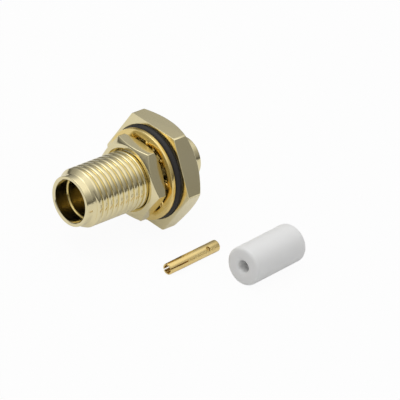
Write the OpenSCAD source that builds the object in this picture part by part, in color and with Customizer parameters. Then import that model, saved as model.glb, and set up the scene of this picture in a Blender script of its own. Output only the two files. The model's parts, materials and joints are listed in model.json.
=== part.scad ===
// Bulkhead coaxial jack, screw-on coupling, shown as its kit of parts.
// The axis of the jack is Y: the mating mouth faces -Y, the cable end +Y.
// The origin is on that axis, in the front face of the hexagon flange,
// which is the face that seats on a panel.

/* [Coupling barrel] */
// Major diameter of the coupling thread
thread_d = 6.35; // [6.2:0.01:6.5]
// Distance from the flange's front face to the rim of the mouth
barrel_len = 10.7; // [9.5:0.1:12]
// Diameter of the plain nose in front of the thread
nose_d = 5.4; // [5.1:0.05:5.6]
// Length of the plain nose
nose_len = 0.8; // [0.5:0.05:1.2]
// Diameter of the runout groove between thread and flange
runout_d = 5.7; // [5.4:0.05:6]
// Width of that groove
runout_w = 0.5; // [0.3:0.05:0.8]

/* [Bores] */
// Diameter of the mating socket behind the rim
socket_d = 4.6; // [4.5:0.01:4.65]
// Depth of the mating socket
socket_depth = 1.7; // [1.5:0.05:1.9]
// Width of the flat step on the floor of the socket
step_w = 0.1; // [0.05:0.01:0.12]
// Diameter of the bore that holds the insulator
main_bore_d = 4.2; // [4.18:0.01:4.24]
// Depth of that bore's front edge behind the rim
main_bore_start = 1.9; // [1.85:0.05:2.1]
// Diameter of the bore that takes the cable's outer conductor
cable_bore_d = 3.62; // [3.4:0.01:3.8]

/* [Flange and rear spigot] */
// Hexagon flange, across its flats
flange_af = 11; // [10.8:0.1:12]
// Hexagon flange, across its turned corners
flange_corner_d = 12.56; // [12.4:0.02:12.6]
// Thickness of the flange
flange_t = 2.4; // [2:0.1:3]
// Diameter of the flat circle inside the rear chamfer
flange_face_d = 10.5; // [10:0.1:10.8]
// Rise of the rear chamfer for each unit of radius
flange_chamfer = 0.75; // [0.5:0.05:0.9]
// Diameter of the spigot behind the flange
spigot_d = 4.6; // [4.4:0.1:5.4]
// Distance from the flange's front face to the end of the spigot
spigot_end = 5.4; // [4.5:0.1:7]

/* [Seal] */
// Inner diameter of the seal groove
groove_id = 7.7; // [7.5:0.05:7.75]
// Outer diameter of the seal groove
groove_od = 10.3; // [10.25:0.05:10.5]
// Depth of the seal groove
groove_depth = 0.66; // [0.6:0.01:0.8]
// Thickness of the seal ring's section
seal_section = 1.2; // [1.1:0.01:1.2]
// Diameter of the seal ring at the middle of its section
seal_pitch_d = 9; // [8.98:0.01:9.02]
// Gap between the seal ring and the floor of its groove
seal_gap = 0.01; // [0.01:0.01:0.05]

/* [Lock washer] */
// Outer diameter of the washer
washer_od = 9.85; // [9.5:0.05:9.9]
// Inner diameter of the washer's plain ring
washer_ring_id = 8.1; // [7.9:0.05:8.3]
// Diameter of the circle that the teeth reach in to
washer_tip_d = 6.58; // [6.56:0.02:6.9]
// Thickness of the washer
washer_t = 0.45; // [0.4:0.01:0.46]
// Number of teeth
tooth_count = 10; // [8:1:12]
// Width of each tooth as an angle about the axis
tooth_angle = 14; // [12:0.5:16]
// Twist of each tooth about its own radial line
tooth_twist = 15; // [5:1:16]
// Angle of the first tooth from +X
tooth_start = 8; // [0:1:35]
// Gap between the washer and the seal ring
washer_gap = 0.05; // [0.04:0.01:0.1]

/* [Hexagon nut] */
// Hexagon nut, across its flats
nut_af = 7.94; // [7.8:0.01:8.2]
// Thickness of the nut
nut_t = 1.75; // [1.5:0.05:2]
// Diameter of the nut's plain bore, which stands for its thread
nut_bore_d = 6.45; // [6.42:0.01:6.5]
// Diameter of the flat circle on each face of the nut
nut_face_d = 7.6; // [7.3:0.05:7.8]
// Angle of the corner chamfers from the face
nut_chamfer = 30; // [20:1:35]
// Gap between the nut and the washer's plain ring
nut_gap = 0.15; // [0.13:0.01:0.3]

/* [Centre contact] */
// Outer diameter of the contact
contact_d = 1.27; // [1.2:0.01:1.3]
// Length of the contact
contact_len = 7.25; // [6.9:0.05:7.5]
// Diameter of the bores at both ends
contact_bore_d = 0.94; // [0.9:0.01:0.96]
// Depth of the bore that grips the mating pin
contact_socket_depth = 3; // [2.7:0.05:3.2]
// Depth of the solder cup
cup_depth = 2.2; // [2:0.05:2.4]
// Width of each slot between the spring fingers
slot_w = 0.14; // [0.1:0.01:0.2]
// Length of the slots
slot_len = 2.5; // [2.2:0.05:2.65]
// Angle of the first slot from +X
slot_start = 28; // [0:1:89]
// Diameter of the solder inspection hole
inspect_d = 0.5; // [0.4:0.01:0.6]
// Distance of that hole from the cup's end
inspect_from_end = 1.67; // [1.4:0.01:1.8]
// Height angle at which the hole looks out
inspect_angle = 50; // [0:1:90]

/* [Insulator] */
// Outer diameter of the insulator
insulator_d = 4.15; // [4.1:0.01:4.16]
// Length of the insulator
insulator_len = 7.6; // [7.4:0.05:7.6]
// Diameter of the hole for the contact
insulator_bore_d = 1.32; // [1.31:0.01:1.36]
// Width of the edge chamfers
insulator_edge = 0.35; // [0.2:0.05:0.45]

/* [Loose parts] */
// Sideways place of the contact's middle
contact_x = 9.33; // [9:0.01:11]
// Lengthwise place of the contact's middle
contact_y = -1.72; // [-4:0.01:0]
// Turn of the contact about the vertical
contact_turn = 4.45; // [-10:0.05:10]
// Sideways place of the insulator's middle
insulator_x = 14.8; // [14.4:0.01:18]
// Lengthwise place of the insulator's middle
insulator_y = 3.53; // [2:0.01:6]
// Turn of the insulator about the vertical
insulator_turn = 5.14; // [-10:0.01:10]

/* [Hidden] */

$fn = 96;
// Overlap of a washer's tooth with its ring, and its overrun past the tip circle
tooth_root = 0.1;
// Overrun that keeps cutting faces apart from the faces they cut
over = 0.2;
// Size of cutting shapes that reach past everything
far = 20;

gold = [0.87, 0.74, 0.42];
contact_gold = [0.82, 0.66, 0.30];
rubber = [0.14, 0.12, 0.12];
ptfe = [0.91, 0.91, 0.90];

// The jack lies on its lower flange flat, and so do the loose parts
floor_z = -flange_af / 2;
rim_y = -barrel_len;
nose_cone = (thread_d - nose_d) / 2;
main_bore_y = rim_y + main_bore_start;
main_bore_end = main_bore_y + insulator_len;

// Outside of the turned body as [radius, distance along Y], without the flange
outer_outline = [
    [0, rim_y],
    [nose_d / 2, rim_y],
    [nose_d / 2, rim_y + nose_len],
    [thread_d / 2, rim_y + nose_len + nose_cone],
    [thread_d / 2, -runout_w],
    [runout_d / 2, -runout_w],
    [runout_d / 2, flange_t / 2],
    [spigot_d / 2, flange_t / 2],
    [spigot_d / 2, spigot_end],
    [0, spigot_end]
];

// Stepped hole right through the body, from the mating mouth to the cable end
hole_outline = [
    [0, rim_y - over],
    [socket_d / 2, rim_y - over],
    [socket_d / 2, rim_y + socket_depth],
    [socket_d / 2 - step_w, rim_y + socket_depth],
    [main_bore_d / 2, main_bore_y],
    [main_bore_d / 2, main_bore_end],
    [cable_bore_d / 2, main_bore_end],
    [cable_bore_d / 2, spigot_end + over],
    [0, spigot_end + over]
];

// The seal ring stands out of its groove, a hair off the groove's floor
seal_y = groove_depth - seal_gap - seal_section / 2;
seal_front = seal_y - seal_section / 2;
washer_back = seal_front - washer_gap;
washer_front = washer_back - washer_t;
nut_back = washer_front - nut_gap;
nut_front = nut_back - nut_t;

// Corner radius of a hexagon from its width across the flats
function hex_r(af) = af / 2 / cos(30);

// Turns a shape drawn upright about Z so that its Z runs along +Y
module along_y() {
    rotate([-90, 0, 0]) children();
}

// Solid turned from an outline of [radius, distance along Y]
module turned(outline) {
    along_y() rotate_extrude() polygon(outline);
}

module tube_y(outer_d, inner_d, y0, y1) {
    turned([[inner_d / 2, y0], [outer_d / 2, y0], [outer_d / 2, y1], [inner_d / 2, y1]]);
}

module hex_prism(af, y0, y1) {
    translate([0, y0, 0]) along_y() cylinder(r = hex_r(af), h = y1 - y0, $fn = 6);
}

// Hexagon flange with a sharp front edge, turned corners and a rear chamfer
module flange() {
    corner_r = flange_corner_d / 2;
    chamfer_y = flange_t - (corner_r - flange_face_d / 2) * flange_chamfer;
    intersection() {
        hex_prism(flange_af, 0, flange_t);
        turned([[0, 0], [corner_r, 0], [corner_r, chamfer_y], [flange_face_d / 2, flange_t], [0, flange_t]]);
    }
}

module connector_body() {
    color(gold) difference() {
        union() {
            turned(outer_outline);
            flange();
        }
        turned(hole_outline);
        tube_y(groove_od, groove_id, -over, groove_depth);
    }
}

module o_ring() {
    color(rubber) translate([0, seal_y, 0]) along_y() rotate_extrude()
        translate([seal_pitch_d / 2, 0]) circle(d = seal_section, $fn = 48);
}

// One twisted tooth, reaching inwards from the plain ring
module tooth() {
    outer_r = washer_ring_id / 2 + tooth_root;
    inner_r = washer_tip_d / 2 - tooth_root;
    middle_r = (outer_r + inner_r) / 2;
    width = 2 * middle_r * tan(tooth_angle / 2);
    rotate([tooth_twist, 0, 0])
        translate([middle_r, 0, 0])
        cube([outer_r - inner_r, washer_t * 0.9, width], center = true);
}

module lock_washer() {
    middle_y = (washer_front + washer_back) / 2;
    color(gold) difference() {
        union() {
            tube_y(washer_od, washer_ring_id, washer_front, washer_back);
            for (i = [0 : tooth_count - 1])
                translate([0, middle_y, 0])
                    rotate([0, -tooth_start - i * 360 / tooth_count, 0])
                    tooth();
        }
        translate([0, middle_y - 1, 0]) along_y() cylinder(d = washer_tip_d, h = 2);
    }
}

module hex_nut() {
    corner_r = hex_r(nut_af);
    drop = (corner_r - nut_face_d / 2) * tan(nut_chamfer);
    color(gold) difference() {
        intersection() {
            hex_prism(nut_af, nut_front, nut_back);
            turned([
                [0, nut_front],
                [nut_face_d / 2, nut_front],
                [corner_r, nut_front + drop],
                [corner_r, nut_back - drop],
                [nut_face_d / 2, nut_back],
                [0, nut_back]
            ]);
        }
        translate([0, nut_front - over, 0]) along_y() cylinder(d = nut_bore_d, h = nut_t + 2 * over);
    }
}

// The contact about its own middle, spring fingers towards -Y
module contact_shape() {
    front_y = -contact_len / 2;
    back_y = contact_len / 2;
    difference() {
        tube_y(contact_d, 0, front_y, back_y);
        translate([0, front_y - over, 0]) along_y()
            cylinder(d = contact_bore_d, h = contact_socket_depth + over);
        translate([0, back_y - cup_depth, 0]) along_y()
            cylinder(d = contact_bore_d, h = cup_depth + over);
        for (turn = [slot_start, slot_start + 90])
            rotate([0, -turn, 0])
                translate([-far / 2, front_y - over, -slot_w / 2])
                cube([far, slot_len + over, slot_w]);
        translate([0, back_y - inspect_from_end, 0])
            rotate([0, 90 - inspect_angle, 0])
            cylinder(d = inspect_d, h = contact_d);
    }
}

module centre_contact() {
    color(contact_gold) translate([contact_x, contact_y, floor_z + contact_d / 2])
        rotate([0, 0, contact_turn])
        contact_shape();
}

// The insulator about its own middle
module insulator_shape() {
    r = insulator_d / 2;
    end_y = insulator_len / 2;
    turned([
        [insulator_bore_d / 2, -end_y],
        [r - insulator_edge, -end_y],
        [r, insulator_edge - end_y],
        [r, end_y - insulator_edge],
        [r - insulator_edge, end_y],
        [insulator_bore_d / 2, end_y]
    ]);
}

module insulator() {
    color(ptfe) translate([insulator_x, insulator_y, floor_z + insulator_d / 2])
        rotate([0, 0, insulator_turn])
        insulator_shape();
}

connector_body();
o_ring();
lock_washer();
hex_nut();
centre_contact();
insulator();
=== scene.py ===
# %% [markdown]
# A bulkhead coaxial jack, laid out as its kit of parts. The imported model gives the
# real sizes, in metres, and the moving bodies. Everything here dresses that model:
# each turned or milled piece is modelled again with its fine edges and its thread,
# in the place that the frame gives, and rides on the same body.

import json
import math

import bpy
from mathutils import Matrix, Vector


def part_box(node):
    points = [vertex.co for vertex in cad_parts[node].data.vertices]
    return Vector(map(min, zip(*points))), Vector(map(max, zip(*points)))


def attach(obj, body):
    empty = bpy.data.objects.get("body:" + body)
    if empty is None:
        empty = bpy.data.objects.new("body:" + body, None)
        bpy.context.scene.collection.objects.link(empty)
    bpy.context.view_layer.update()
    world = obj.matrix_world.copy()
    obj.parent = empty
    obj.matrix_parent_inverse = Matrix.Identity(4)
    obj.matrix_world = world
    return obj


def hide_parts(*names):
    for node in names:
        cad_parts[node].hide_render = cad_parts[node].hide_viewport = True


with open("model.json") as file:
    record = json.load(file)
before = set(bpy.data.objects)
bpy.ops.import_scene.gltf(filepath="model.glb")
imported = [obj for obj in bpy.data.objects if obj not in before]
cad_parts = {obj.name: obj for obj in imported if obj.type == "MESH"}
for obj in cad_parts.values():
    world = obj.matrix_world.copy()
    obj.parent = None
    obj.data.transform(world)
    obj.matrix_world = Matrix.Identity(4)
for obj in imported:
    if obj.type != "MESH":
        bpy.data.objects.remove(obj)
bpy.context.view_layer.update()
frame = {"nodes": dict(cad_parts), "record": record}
print("nodes:", ", ".join(sorted(frame["nodes"])))

# %% [markdown]
# The frame knows the working dimensions: the mounts carry the radii of the bores and
# of the thread, the coupling carries the thread's pitch, and each node's box carries
# its outer size. Reading them here keeps the dressed pieces true to the solids.

# %% Working dimensions
MM = 0.001
ROUND = 128  # steps round a turned piece

record = frame["record"]
mounts = {mount["name"]: mount for mount in record["mounts"]}


def mount_radius(name):
    return mounts[name]["dims"]["r_mm"] * MM


def mount_length(name):
    return mounts[name]["dims"]["length_mm"] * MM


body_low, body_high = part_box("connector_body")
nut_low, nut_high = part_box("hex_nut")
washer_low, washer_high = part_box("lock_washer")
seal_low, seal_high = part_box("o_ring")

thread_r = mount_radius("coupling_thread")
thread_pitch = 2 * math.pi / record["behaviour"]["couplings"][0]["ratio"]
rim_y = body_low.y
floor_z = body_low.z
print(f"thread {2 * thread_r / MM:.2f} mm over its crests, pitch {thread_pitch / MM:.4f} mm")

# %% [markdown]
# The camera is a long lens a good way off, so the parallel edges of the jack stay
# nearly parallel. It looks down on the mouth of the jack from the front right, with
# a slight roll, and its aim is a point in the middle of the laid-out parts.

# %% Camera
view_azimuth = math.radians(43.475)
view_elevation = math.radians(31.374)
view_roll = math.radians(7.078)
view_distance = 411.67 * MM
view_aim = Vector((4.951, 3.085, -1.915)) * MM

towards = Vector(
    (
        math.sin(view_azimuth) * math.cos(view_elevation),
        -math.cos(view_azimuth) * math.cos(view_elevation),
        math.sin(view_elevation),
    )
)
camera_data = bpy.data.cameras.new("camera")
camera_data.lens = 360
camera_data.sensor_width = 36
camera_data.clip_start = 0.01
camera_data.clip_end = 10
camera = bpy.data.objects.new("camera", camera_data)
bpy.context.scene.collection.objects.link(camera)
turn = towards.to_track_quat("Z", "Y").to_matrix().to_4x4() @ Matrix.Rotation(view_roll, 4, "Z")
camera.matrix_world = Matrix.Translation(view_aim + towards * view_distance) @ turn
bpy.context.scene.camera = camera
print("camera at", [round(c, 4) for c in camera.location])

# %% [markdown]
# A lathe part is one outline swept round an axis. The helper draws the outline as a
# chain of extruded points in the plane of the axis, and Spin carries it once round
# the Y axis. Corners are eased first: each sharp corner of the outline gives way to
# a short arc, as a lathe tool and the plating leave it.


# %% Lathe helpers
def deselect_all():
    if bpy.context.mode != "OBJECT":
        bpy.ops.object.mode_set(mode="OBJECT")
    bpy.ops.object.select_all(action="DESELECT")


def pick(piece):
    deselect_all()
    piece.select_set(True)
    bpy.context.view_layer.objects.active = piece


def eased(outline, ease, steps=3):
    """The outline with each corner off the axis cut back by ease and rounded."""
    points = []
    for i, corner in enumerate(outline):
        here = Vector(corner)
        before = Vector(outline[i - 1]) - here
        after = Vector(outline[(i + 1) % len(outline)]) - here
        if here.x < 1e-9 or before.angle(after) > math.radians(170):
            points.append(tuple(here))
            continue
        cut = min(ease, 0.45 * before.length, 0.45 * after.length)
        start = here + before.normalized() * cut
        end = here + after.normalized() * cut
        for k in range(steps + 1):
            t = k / steps
            points.append(tuple(start * (1 - t) ** 2 + here * 2 * t * (1 - t) + end * t**2))
    return points


def draw_outline(name, outline):
    """A closed chain of edges through (radius, y) points, in the plane of the axis."""
    deselect_all()
    bpy.ops.mesh.primitive_plane_add(size=MM)
    piece = bpy.context.object
    piece.name = piece.data.name = name
    bpy.ops.object.mode_set(mode="EDIT")
    bpy.ops.mesh.merge(type="CENTER")
    here = Vector((0, 0, 0))
    first = Vector((outline[0][0], outline[0][1], 0))
    bpy.ops.transform.translate(value=first - here)
    here = first
    for radius, y in list(outline[1:]) + [outline[0]]:
        there = Vector((radius, y, 0))
        bpy.ops.mesh.extrude_vertices_move(TRANSFORM_OT_translate={"value": there - here})
        here = there
    bpy.ops.mesh.select_all(action="SELECT")
    bpy.ops.mesh.remove_doubles(threshold=1e-8)
    return piece


def close_up(piece):
    """Welds the piece's doubled points and turns its faces outwards."""
    pick(piece)
    bpy.ops.object.mode_set(mode="EDIT")
    bpy.ops.mesh.select_all(action="SELECT")
    bpy.ops.mesh.remove_doubles(threshold=2e-7)
    bpy.ops.mesh.normals_make_consistent(inside=False)
    bpy.ops.object.mode_set(mode="OBJECT")
    return piece


def turned(name, outline, steps=ROUND):
    """A solid of revolution about the Y axis."""
    piece = draw_outline(name, outline)
    bpy.ops.mesh.spin(steps=steps, angle=2 * math.pi, center=(0, 0, 0), axis=(0, 1, 0))
    return close_up(piece)


# %% [markdown]
# Milled pieces are made by cutting solids with other solids. The exact Boolean
# solver keeps the result closed. The tool is deleted once it has cut.


# %% Cutting helpers
def apply_all(piece):
    pick(piece)
    for modifier in list(piece.modifiers):
        bpy.ops.object.modifier_apply(modifier=modifier.name)


def combine(piece, tool, operation):
    modifier = piece.modifiers.new(operation.lower(), "BOOLEAN")
    modifier.operation = operation
    modifier.solver = "EXACT"
    modifier.object = tool
    apply_all(piece)
    bpy.data.objects.remove(tool)
    return piece


def soften(piece, width, segments=2, angle=30):
    """A narrow round on every edge that is sharper than angle."""
    modifier = piece.modifiers.new("edges", "BEVEL")
    modifier.width = width
    modifier.segments = segments
    modifier.limit_method = "ANGLE"
    modifier.angle_limit = math.radians(angle)
    modifier.use_clamp_overlap = False
    apply_all(piece)
    return piece


def shade(piece, angle=35):
    """Smooth shading up to angle, with flats kept flat by weighted normals."""
    pick(piece)
    bpy.ops.object.shade_smooth_by_angle(angle=math.radians(angle))
    modifier = piece.modifiers.new("flats", "WEIGHTED_NORMAL")
    modifier.keep_sharp = True
    modifier.weight = 100
    apply_all(piece)
    piece.data.materials.clear()
    print(piece.name, len(piece.data.polygons), "faces")
    return piece


def hexagon(name, across_flats, front, back):
    """A hexagonal bar along Y, with corners on +X and -X and flats above and below."""
    deselect_all()
    bpy.ops.mesh.primitive_cylinder_add(
        vertices=6,
        radius=across_flats / 2 / math.cos(math.radians(30)),
        depth=back - front,
        location=(0, (front + back) / 2, 0),
        rotation=(math.radians(90), math.radians(30), 0),
    )
    piece = bpy.context.object
    piece.name = piece.data.name = name
    bpy.ops.object.transform_apply(location=True, rotation=True, scale=True)
    corner = max(piece.data.vertices, key=lambda v: v.co.x).co
    print(name, "corner at", [round(c / MM, 3) for c in corner])
    return piece


# %% [markdown]
# The jack's shell is one piece of brass. On the lathe it gets its nose, barrel and
# spigot, and the stepped bore right through; the flange is a slice of hexagon bar
# whose rear edges were turned to a chamfer and whose corners were skimmed round.

# %% Shell: turned blank
nose_r = 2.70 * MM
nose_length = 0.80 * MM
runout_r = 2.85 * MM
runout_width = 0.50 * MM
spigot_r = 2.30 * MM
spigot_root = 1.2 * MM
fine_edge = 0.07 * MM
over = 0.5 * MM

cone_back = rim_y + nose_length + (thread_r - nose_r)
shell_outline = [
    (0, rim_y),
    (nose_r, rim_y),
    (nose_r, rim_y + nose_length),
    (thread_r, cone_back),
    (thread_r, -runout_width),
    (runout_r, -runout_width),
    (runout_r, spigot_root),
    (spigot_r, spigot_root),
    (spigot_r, body_high.y),
    (0, body_high.y),
]
jack_shell = turned("jack_shell", eased(shell_outline, fine_edge))

# %% Shell: flange
flange_flats = -2 * floor_z
flange_corner_r = body_high.x
flange_back = 2.4 * MM
flange_face_r = 5.25 * MM
rear_slope = 0.75

chamfer_y = flange_back - (flange_corner_r - flange_face_r) * rear_slope
flange = hexagon("flange", flange_flats, 0, flange_back)
flange_limit = turned(
    "flange_limit",
    [
        (0, -over),
        (flange_corner_r, -over),
        (flange_corner_r, chamfer_y),
        (flange_face_r, flange_back),
        (0, flange_back),
    ],
)
combine(flange, flange_limit, "INTERSECT")
soften(flange, 0.06 * MM)

# %% [markdown]
# The seal ring sits in a groove turned into the flange's front face. The bore is cut
# last, through the shell and the flange together: the mating socket at the mouth, a
# small step, the bore for the insulator, and the narrower bore for the cable.

# %% Shell: groove and bores
groove_inner, groove_outer, groove_depth = 3.85 * MM, 5.15 * MM, 0.66 * MM
seal_groove = turned(
    "seal_groove",
    [
        (groove_inner, -over),
        (groove_outer, -over),
        (groove_outer, groove_depth),
        (groove_inner, groove_depth),
    ],
)
combine(flange, seal_groove, "DIFFERENCE")
combine(jack_shell, flange, "UNION")

socket_r = mount_radius("mating_socket")
socket_back = rim_y + mount_length("mating_socket")
main_r = mount_radius("insulator_seat")
main_front = mounts["insulator_seat"]["pos_m"][1]
main_back = main_front + mount_length("insulator_seat")
cable_r = mount_radius("cable_entry")
mouth_ease = 0.08 * MM
socket_step = 0.1 * MM
bore_outline = [
    (0, rim_y - over),
    (socket_r + mouth_ease + over, rim_y - over),
    (socket_r + mouth_ease, rim_y),
    (socket_r, rim_y + mouth_ease),
    (socket_r, socket_back),
    (socket_r - socket_step, socket_back),
    (main_r, main_front),
    (main_r, main_back),
    (cable_r, main_back),
    (cable_r, body_high.y - mouth_ease),
    (cable_r + mouth_ease, body_high.y),
    (cable_r + mouth_ease, body_high.y + over),
    (0, body_high.y + over),
]
combine(jack_shell, turned("bore_cutter", bore_outline), "DIFFERENCE")

# %% [markdown]
# A thread is a groove that winds along the barrel. The cutter is the tool's tip: a
# narrow V with flared shoulders that break the crest's edges. The Screw modifier
# carries it forward one pitch a turn, and the Boolean cuts it out of the blank, so
# the thread runs out into the cone in front and into the relief at the back, as a
# real one does.

# %% Shell: thread
thread_turns = 14
thread_start = -10.29 * MM
groove_floor_r = 2.95 * MM
tool_tip = [
    (groove_floor_r, -0.02 * MM),
    (3.12 * MM, -0.115 * MM),
    (3.155 * MM, -0.145 * MM),
    (3.172 * MM, -0.185 * MM),
    (3.21 * MM, -0.28 * MM),
    (3.21 * MM, 0.28 * MM),
    (3.172 * MM, 0.185 * MM),
    (3.155 * MM, 0.145 * MM),
    (3.12 * MM, 0.115 * MM),
    (groove_floor_r, 0.02 * MM),
]


def helix_cutter(name, tip, start, turns):
    """The tip's outline, wound right-handed round the Y axis from y = start."""
    cutter = draw_outline(name, [(radius, start + y) for radius, y in tip])
    bpy.ops.object.mode_set(mode="OBJECT")
    screw = cutter.modifiers.new("pitch", "SCREW")
    screw.axis = "Y"
    screw.screw_offset = thread_pitch
    screw.iterations = turns
    screw.steps = screw.render_steps = 90
    screw.use_merge_vertices = False
    screw.use_smooth_shade = False
    apply_all(cutter)
    bpy.ops.object.mode_set(mode="EDIT")
    bpy.ops.mesh.select_all(action="SELECT")
    bpy.ops.mesh.fill_holes(sides=0)
    return close_up(cutter)


thread_cutter = helix_cutter("thread_cutter", tool_tip, thread_start, thread_turns)
combine(jack_shell, thread_cutter, "DIFFERENCE")
shade(jack_shell)

# %% [markdown]
# The panel nut is a slice of hexagon bar too, chamfered on both faces so that the
# corners end in curved facets. Its bore opens with a small countersink.

# %% Panel nut
nut_flats = 2 * nut_high.z
nut_corner_r = nut_high.x
nut_front, nut_back = nut_low.y, nut_high.y
nut_face_r = 3.80 * MM
nut_drop = (nut_corner_r - nut_face_r) * math.tan(math.radians(30))
nut_bore_r = thread_r + 0.05 * MM
countersink = 0.22 * MM

panel_nut = hexagon("panel_nut", nut_flats, nut_front, nut_back)
nut_limit = turned(
    "nut_limit",
    [
        (0, nut_front),
        (nut_face_r, nut_front),
        (nut_corner_r, nut_front + nut_drop),
        (nut_corner_r, nut_back - nut_drop),
        (nut_face_r, nut_back),
        (0, nut_back),
    ],
)
combine(panel_nut, nut_limit, "INTERSECT")
soften(panel_nut, 0.05 * MM)
nut_bore = turned(
    "nut_bore",
    [
        (0, nut_front - over),
        (nut_bore_r + countersink + over, nut_front - over),
        (nut_bore_r, nut_front + countersink),
        (nut_bore_r, nut_back - countersink),
        (nut_bore_r + countersink + over, nut_back + over),
        (0, nut_back + over),
    ],
)
combine(panel_nut, nut_bore, "DIFFERENCE")
shade(panel_nut)

# %% [markdown]
# The lock washer is punched from thin sheet. Its teeth point inwards, and each is
# twisted about its own radial line so that its edges bite the nut and the panel.
# One tooth is made and eased, then copied round the ring.

# %% Lock washer
washer_thickness = 0.45 * MM
washer_back = seal_low.y - 0.05 * MM
washer_front = washer_back - washer_thickness
washer_middle = (washer_front + washer_back) / 2
washer_outer = washer_high.x
washer_inner = 4.05 * MM
tip_r = 3.29 * MM
teeth = 10
tooth_width = 0.90 * MM
tooth_twist = math.radians(15)
first_tooth = math.radians(8)
tooth_overlap = 0.10 * MM

lock_ring = turned(
    "lock_ring",
    eased(
        [
            (washer_inner, washer_front),
            (washer_outer, washer_front),
            (washer_outer, washer_back),
            (washer_inner, washer_back),
        ],
        0.07 * MM,
    ),
)


def washer_tooth(i):
    length = washer_inner - tip_r + tooth_overlap
    deselect_all()
    bpy.ops.mesh.primitive_cube_add(size=1, location=(tip_r + length / 2, 0, 0))
    tooth = bpy.context.object
    tooth.name = f"tooth_{i + 1}"
    tooth.scale = (length, washer_thickness * 0.9, tooth_width)
    bpy.ops.object.transform_apply(location=True, rotation=False, scale=True)
    soften(tooth, 0.06 * MM)
    angle = first_tooth + i * 2 * math.pi / teeth
    tooth.data.transform(Matrix.Rotation(tooth_twist, 4, "X"))
    tooth.data.transform(Matrix.Rotation(-angle, 4, "Y"))
    tooth.data.transform(Matrix.Translation((0, washer_middle, 0)))
    return tooth


for i in range(teeth):
    combine(lock_ring, washer_tooth(i), "UNION")
shade(lock_ring)

# %% [markdown]
# The seal is a moulded rubber ring. The mould halves meet round its widest inner and
# outer lines and leave a thin flash there, which a torus gets by moving those two
# loops of points a little.

# %% Seal ring
seal_section = (seal_high.y - seal_low.y) / 2
seal_middle = (seal_high.y + seal_low.y) / 2
seal_pitch_r = seal_high.x - seal_section
flash = 0.012 * MM
flash_band = 0.02 * MM

deselect_all()
bpy.ops.mesh.primitive_torus_add(
    major_radius=seal_pitch_r,
    minor_radius=seal_section - flash,
    major_segments=ROUND,
    minor_segments=40,
    location=(0, seal_middle, 0),
    rotation=(math.radians(90), 0, 0),
)
seal_ring = bpy.context.object
seal_ring.name = seal_ring.data.name = "seal_ring"
bpy.ops.object.transform_apply(location=True, rotation=True, scale=True)
for point in seal_ring.data.vertices:
    radius = math.hypot(point.co.x, point.co.z)
    if abs(point.co.y - seal_middle) < flash_band:
        grow = (radius + math.copysign(flash, radius - seal_pitch_r)) / radius
        point.co.x *= grow
        point.co.z *= grow
close_up(seal_ring)
shade(seal_ring, 60)

# %% [markdown]
# The socket contact is a thin tube, closed in its middle. Slots split its front into
# spring fingers that are squeezed in a little, so they grip the mating pin, and a
# small hole shows the solder in the cup at its back. It is made about the origin,
# along Y, and then laid in its place.

# %% Centre contact
contact_mouth = Vector(mounts["contact_socket"]["pos_m"])
contact_end = Vector(mounts["solder_cup"]["pos_m"])
contact_axis = Vector(mounts["solder_cup"]["axis"])
contact_middle = (contact_mouth + contact_end) / 2
contact_turn = math.atan2(-contact_axis.x, contact_axis.y)
contact_length = (contact_end - contact_mouth).length
contact_r = contact_middle.z - floor_z
contact_bore_r = mount_radius("contact_socket")
socket_depth = mount_length("contact_socket")
cup_depth = mount_length("solder_cup")
slot_width = 0.14 * MM
slot_length = 2.5 * MM
slot_start = math.radians(28)
inspection_r = 0.25 * MM
inspection_from_end = 1.67 * MM
inspection_angle = math.radians(50)

front, back = -contact_length / 2, contact_length / 2
contact = turned(
    "contact",
    eased([(0, front), (contact_r, front), (contact_r, back), (0, back)], 0.05 * MM),
    steps=96,
)
for y0, y1 in ((front - over, front + socket_depth), (back - cup_depth, back + over)):
    combine(
        contact,
        turned("contact_bore", [(0, y0), (contact_bore_r, y0), (contact_bore_r, y1), (0, y1)], 64),
        "DIFFERENCE",
    )


def block(name, size, centre):
    deselect_all()
    bpy.ops.mesh.primitive_cube_add(size=1, location=centre)
    piece = bpy.context.object
    piece.name = name
    piece.scale = size
    bpy.ops.object.transform_apply(location=True, rotation=False, scale=True)
    return piece


for k in range(2):
    slot = block(
        "slot",
        (4 * contact_r, slot_length + over, slot_width),
        (0, front + (slot_length - over) / 2, 0),
    )
    slot.data.transform(Matrix.Rotation(-(slot_start + k * math.pi / 2), 4, "Y"))
    combine(contact, slot, "DIFFERENCE")

deselect_all()
bpy.ops.mesh.primitive_cylinder_add(vertices=40, radius=inspection_r, depth=2 * contact_r)
drill = bpy.context.object
drill.data.transform(Matrix.Translation((0, 0, contact_r)))
drill.data.transform(Matrix.Rotation(math.pi / 2 - inspection_angle, 4, "Y"))
drill.data.transform(Matrix.Translation((0, back - inspection_from_end, 0)))
combine(contact, drill, "DIFFERENCE")

# %% Contact: squeezed fingers, and its place
finger_squeeze = 0.03 * MM
for point in contact.data.vertices:
    along = max(0.0, 1 - (point.co.y - front) / slot_length)
    radius = math.hypot(point.co.x, point.co.z)
    if radius > contact_bore_r / 2 and along > 0:
        shrink = (radius - finger_squeeze * along**2) / radius
        point.co.x *= shrink
        point.co.z *= shrink
close_up(contact)
contact.data.transform(Matrix.Translation(contact_middle) @ Matrix.Rotation(contact_turn, 4, "Z"))
shade(contact)

# %% [markdown]
# The insulator is a bead of soft white plastic with a hole for the contact. Its end
# edges are rounded over generously, because a sharp edge would shave off as the bead
# is pressed into the jack.

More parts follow.
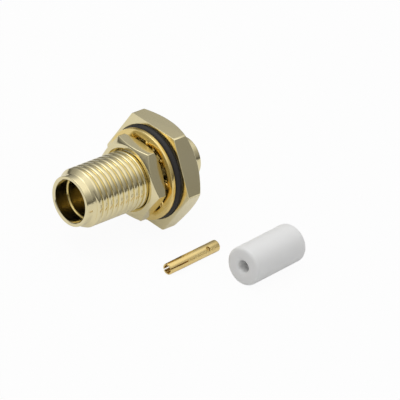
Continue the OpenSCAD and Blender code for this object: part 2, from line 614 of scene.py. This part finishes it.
# %% Insulator
bead_low, bead_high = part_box("insulator")
bead_middle = (bead_low + bead_high) / 2
bead_r = (bead_high.z - bead_low.z) / 2
bead_length = mount_length("insulator_seat")
bead_hole_r = 0.66 * MM
bead_edge = 0.40 * MM
bead_turn = math.radians(5.14)
bead_outline = eased(
    [
        (bead_hole_r, -bead_length / 2),
        (bead_r, -bead_length / 2),
        (bead_r, bead_length / 2),
        (bead_hole_r, bead_length / 2),
    ],
    bead_edge,
    steps=8,
)
bead = turned("bead", bead_outline)
bead.data.transform(Matrix.Translation(bead_middle) @ Matrix.Rotation(bead_turn, 4, "Z"))
shade(bead)

# %% [markdown]
# Each new piece stands for its solid, whose node is hidden, and rides on the same body. The table
# also lists each piece's slot in the record.

# %% Bodies, slots and replaced nodes
dressed = [
    (jack_shell, "connector_body", "connector", "gold_plate"),
    (panel_nut, "hex_nut", "nut", "gold_plate"),
    (lock_ring, "lock_washer", "washer", "gold_plate"),
    (seal_ring, "o_ring", "connector", "seal_rubber"),
    (contact, "centre_contact", "connector", "contact_gold"),
    (bead, "insulator", "connector", "ptfe"),
]
for piece, node, body, slot in dressed:
    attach(piece, body)
    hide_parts(node)
print(len(dressed), "pieces dressed")

# %% [markdown]
# Turned metal keeps the fine rings of the tool. On a barrel they lie side by side
# along the axis, and on a face they are circles, so a noise that is read by distance
# along the axis and by radius gives both. The group puts out that value, from 0 to
# 1, and takes coordinates in which the piece's axis is Y.


# %% Shared effect: turning marks
def add_node(tree, kind, **settings):
    node = tree.nodes.new(kind)
    for key, value in settings.items():
        setattr(node, key, value)
    return node


def maths(tree, operation, first, second=None):
    node = add_node(tree, "ShaderNodeMath", operation=operation)
    for socket, value in zip(node.inputs, (first, second)):
        if value is None:
            continue
        if isinstance(value, (int, float)):
            socket.default_value = value
        else:
            tree.links.new(value, socket)
    return node.outputs[0]


def make_turning_marks():
    group = bpy.data.node_groups.new("turning_marks", "ShaderNodeTree")
    group.interface.new_socket("Vector", in_out="INPUT", socket_type="NodeSocketVector")
    group.interface.new_socket("Lines per mm", in_out="INPUT", socket_type="NodeSocketFloat")
    group.interface.new_socket("Marks", in_out="OUTPUT", socket_type="NodeSocketFloat")
    start = group.nodes.new("NodeGroupInput")
    end = group.nodes.new("NodeGroupOutput")
    split = group.nodes.new("ShaderNodeSeparateXYZ")
    group.links.new(start.outputs["Vector"], split.inputs[0])
    across = maths(group, "POWER", split.outputs["X"], 2.0)
    up = maths(group, "POWER", split.outputs["Z"], 2.0)
    radius = maths(group, "SQRT", maths(group, "ADD", across, up))
    join = group.nodes.new("ShaderNodeCombineXYZ")
    group.links.new(radius, join.inputs["X"])
    group.links.new(split.outputs["Y"], join.inputs["Y"])
    noise = add_node(group, "ShaderNodeTexNoise", noise_dimensions="2D")
    noise.inputs["Detail"].default_value = 3
    group.links.new(join.outputs[0], noise.inputs["Vector"])
    lines = maths(group, "MULTIPLY", start.outputs["Lines per mm"], 1 / MM)
    group.links.new(lines, noise.inputs["Scale"])
    group.links.new(noise.outputs["Fac"], end.inputs["Marks"])
    return group


turning_marks = make_turning_marks()
print("group:", turning_marks.name)

# %% [markdown]
# Gold plate is a metal whose colour is its reflection colour. Over the piece it
# drifts a little between a paler and a warmer tone, its roughness follows the
# turning marks, and the marks stand out of the surface by a hair.


# %% Materials: gold
def new_material(name):
    material = bpy.data.materials.new(name)
    material.use_nodes = True
    tree = material.node_tree
    shader = tree.nodes["Principled BSDF"]
    coordinates = tree.nodes.new("ShaderNodeTexCoord")
    return material, tree, shader, coordinates.outputs["Object"]


def drift(tree, vector, scale, pale, warm):
    """A slow change of tone over the surface."""
    noise = tree.nodes.new("ShaderNodeTexNoise")
    noise.inputs["Scale"].default_value = scale
    noise.inputs["Detail"].default_value = 2
    tree.links.new(vector, noise.inputs["Vector"])
    mix = add_node(tree, "ShaderNodeMix", data_type="RGBA")
    mix.inputs["A"].default_value = (*pale, 1)
    mix.inputs["B"].default_value = (*warm, 1)
    tree.links.new(noise.outputs["Fac"], mix.inputs["Factor"])
    return mix.outputs["Result"]


def gold(name, pale, warm, roughness, mark_height, lines, centre=(0, 0, 0), turn=0.0):
    material, tree, shader, vector = new_material(name)
    if turn or any(centre):
        place = add_node(tree, "ShaderNodeMapping", vector_type="TEXTURE")
        place.inputs["Location"].default_value = centre
        place.inputs["Rotation"].default_value = (0, 0, turn)
        tree.links.new(vector, place.inputs["Vector"])
        vector = place.outputs[0]
    marks = add_node(tree, "ShaderNodeGroup", node_tree=turning_marks)
    marks.inputs["Lines per mm"].default_value = lines
    tree.links.new(vector, marks.inputs["Vector"])
    spread = add_node(tree, "ShaderNodeMapRange")
    spread.inputs["To Min"].default_value = roughness * 0.75
    spread.inputs["To Max"].default_value = roughness * 1.25
    tree.links.new(marks.outputs["Marks"], spread.inputs["Value"])
    tree.links.new(spread.outputs[0], shader.inputs["Roughness"])
    bump = tree.nodes.new("ShaderNodeBump")
    bump.inputs["Distance"].default_value = mark_height
    bump.inputs["Strength"].default_value = 0.5
    tree.links.new(marks.outputs["Marks"], bump.inputs["Height"])
    tree.links.new(bump.outputs[0], shader.inputs["Normal"])
    tree.links.new(drift(tree, vector, 250, pale, warm), shader.inputs["Base Color"])
    shader.inputs["Metallic"].default_value = 1
    return material


plate_pale = (0.90, 0.81, 0.53)
plate_warm = (0.84, 0.73, 0.42)
gold_plate = gold("gold_plate", plate_pale, plate_warm, 0.16, 0.0006 * MM, 25)
washer_gold = gold("washer_gold", (0.95, 0.78, 0.36), (0.90, 0.66, 0.24), 0.20, 0.0008 * MM, 12)
contact_gold = gold(
    "contact_gold",
    (0.93, 0.76, 0.36),
    (0.86, 0.62, 0.24),
    0.26,
    0.0008 * MM,
    25,
    centre=contact_middle,
    turn=contact_turn,
)

# %% [markdown]
# The rubber is black with a dull bloom in patches, and its skin is very slightly
# grained. The bead's plastic is waxy: light enters it a little way, and its sawn
# and turned surface is faintly ringed.


# %% Materials: rubber and bead
def seal_rubber():
    material, tree, shader, vector = new_material("seal_rubber")
    tone = drift(tree, vector, 900, (0.016, 0.014, 0.014), (0.034, 0.031, 0.031))
    tree.links.new(tone, shader.inputs["Base Color"])
    grain = tree.nodes.new("ShaderNodeTexNoise")
    grain.inputs["Scale"].default_value = 12 / MM
    tree.links.new(vector, grain.inputs["Vector"])
    bump = tree.nodes.new("ShaderNodeBump")
    bump.inputs["Distance"].default_value = 0.004 * MM
    bump.inputs["Strength"].default_value = 0.6
    tree.links.new(grain.outputs["Fac"], bump.inputs["Height"])
    tree.links.new(bump.outputs[0], shader.inputs["Normal"])
    shader.inputs["Roughness"].default_value = 0.55
    return material


def bead_plastic():
    material, tree, shader, vector = new_material("ptfe")
    place = add_node(tree, "ShaderNodeMapping", vector_type="TEXTURE")
    place.inputs["Location"].default_value = bead_middle
    place.inputs["Rotation"].default_value = (0, 0, bead_turn)
    tree.links.new(vector, place.inputs["Vector"])
    marks = add_node(tree, "ShaderNodeGroup", node_tree=turning_marks)
    marks.inputs["Lines per mm"].default_value = 6
    tree.links.new(place.outputs[0], marks.inputs["Vector"])
    bump = tree.nodes.new("ShaderNodeBump")
    bump.inputs["Distance"].default_value = 0.003 * MM
    bump.inputs["Strength"].default_value = 0.4
    tree.links.new(marks.outputs["Marks"], bump.inputs["Height"])
    tree.links.new(bump.outputs[0], shader.inputs["Normal"])
    tone = drift(tree, place.outputs[0], 300, (0.95, 0.95, 0.94), (0.91, 0.91, 0.90))
    tree.links.new(tone, shader.inputs["Base Color"])
    shader.inputs["Roughness"].default_value = 0.45
    shader.inputs["Subsurface Weight"].default_value = 0.25
    shader.inputs["Subsurface Radius"].default_value = (0.5 * MM, 0.5 * MM, 0.5 * MM)
    shader.inputs["Subsurface Scale"].default_value = 1.0
    return material


finishes = [
    (jack_shell, gold_plate),
    (panel_nut, gold_plate),
    (lock_ring, washer_gold),
    (seal_ring, seal_rubber()),
    (contact, contact_gold),
    (bead, bead_plastic()),
]
for piece, material in finishes:
    piece.data.materials.append(material)
print(len(finishes), "pieces finished")

# %% [markdown]
# The parts lie on a plain white sheet. The camera sees it as white paper, the gold
# mirrors it a little dimmer, and it keeps a faint shadow under the parts.


# %% Floor
def paper():
    material, tree, shader, vector = new_material("paper")
    grain = drift(tree, vector, 200, (0.80, 0.80, 0.80), (0.78, 0.78, 0.78))
    tree.links.new(grain, shader.inputs["Base Color"])
    shader.inputs["Roughness"].default_value = 0.9
    white = tree.nodes.new("ShaderNodeEmission")
    path = tree.nodes.new("ShaderNodeLightPath")
    glossy, transmitted = path.outputs["Is Glossy Ray"], path.outputs["Is Transmission Ray"]
    mirrored = maths(tree, "MAXIMUM", glossy, transmitted)
    mirrored = maths(tree, "MULTIPLY", mirrored, 0.30)
    direct = maths(tree, "MULTIPLY", path.outputs["Is Camera Ray"], 0.95)
    share = maths(tree, "MAXIMUM", direct, mirrored)
    mix = tree.nodes.new("ShaderNodeMixShader")
    tree.links.new(share, mix.inputs[0])
    tree.links.new(shader.outputs[0], mix.inputs[1])
    tree.links.new(white.outputs[0], mix.inputs[2])
    tree.links.new(mix.outputs[0], tree.nodes["Material Output"].inputs["Surface"])
    return material


deselect_all()
bpy.ops.mesh.primitive_plane_add(size=3, location=(0, 0, floor_z))
floor = bpy.context.object
floor.name = "floor"
floor.data.materials.append(paper())
print("floor at", round(floor_z / MM, 2), "mm")

# %% [markdown]
# Gold is only as good as what it mirrors. The room is dark just above the sheet,
# grey at the height of the walls and bright overhead, like a table under a wide
# soft box. The camera sees plain white where it looks past the sheet.


# %% World and light
def room():
    world = bpy.data.worlds.new("room")
    world.use_nodes = True
    tree = world.node_tree
    background = tree.nodes["Background"]
    coordinates = tree.nodes.new("ShaderNodeTexCoord")
    split = tree.nodes.new("ShaderNodeSeparateXYZ")
    tree.links.new(coordinates.outputs["Generated"], split.inputs[0])
    ramp = tree.nodes.new("ShaderNodeValToRGB")
    tree.links.new(split.outputs["Z"], ramp.inputs[0])
    stops = [(0.0, 0.10), (0.12, 0.10), (0.20, 0.26), (0.50, 0.42), (0.68, 0.75), (0.80, 1.05)]
    while len(ramp.color_ramp.elements) < len(stops):
        ramp.color_ramp.elements.new(0.5)
    for element, (height, level) in zip(ramp.color_ramp.elements, stops):
        element.position = height
        element.color = (level, level, level, 1)
    path = tree.nodes.new("ShaderNodeLightPath")
    mix = add_node(tree, "ShaderNodeMix", data_type="RGBA")
    mix.inputs["B"].default_value = (1, 1, 1, 1)
    tree.links.new(path.outputs["Is Camera Ray"], mix.inputs["Factor"])
    tree.links.new(ramp.outputs[0], mix.inputs["A"])
    tree.links.new(mix.outputs["Result"], background.inputs["Color"])
    return world


def soft_box(name, place, size, watts):
    data = bpy.data.lights.new(name, "AREA")
    data.shape = "SQUARE"
    data.size = size
    data.energy = watts
    lamp = bpy.data.objects.new(name, data)
    bpy.context.scene.collection.objects.link(lamp)
    away = Vector(place)
    lamp.matrix_world = Matrix.Translation(away) @ away.to_track_quat("Z", "Y").to_matrix().to_4x4()
    return lamp


bpy.context.scene.world = room()
soft_box("key_light", (-0.06, -0.05, 0.20), 0.12, 0.05)
bpy.context.scene.view_settings.view_transform = "Standard"
print("lights:", len(bpy.data.lights))

# %% [markdown]

# %% End
print("script done")
